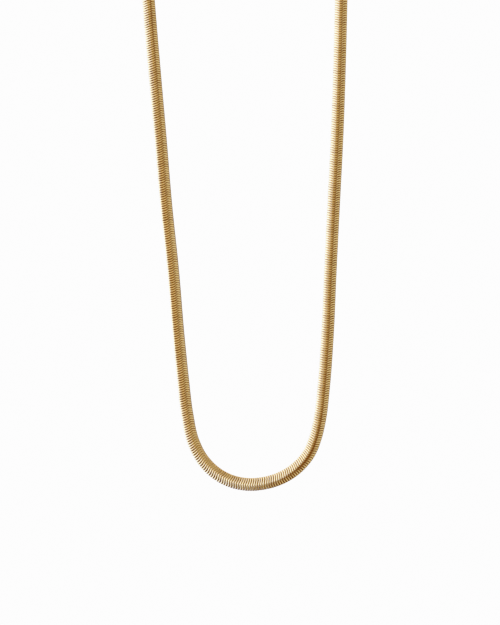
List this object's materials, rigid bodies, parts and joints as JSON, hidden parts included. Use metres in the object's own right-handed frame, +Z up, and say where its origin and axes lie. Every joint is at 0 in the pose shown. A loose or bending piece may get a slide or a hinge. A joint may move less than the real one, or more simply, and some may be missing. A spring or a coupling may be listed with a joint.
{
  "type": "snake chain necklace",
  "caption": "Gold-coloured snake chain necklace: a flattened strand of close wavy links in one narrow hanging loop, closed by a plain box clasp.",
  "frame": {"origin": "the point in the middle of the clasp's underside that rests on whatever holds the necklace up", "axes": "+Z up, +X across the loop to the viewer's right, -Y towards the viewer"},
  "size_m": [0.0637, 0.0044, 0.1983],
  "materials": {
    "polished_links": "polished gold-coloured metal",
    "satin_clasp": "finely brushed gold-coloured metal"
  },
  "bodies": {
    "root": {"snake_chain": "polished_links", "clasp": "satin_clasp"}
  },
  "joints": []
}
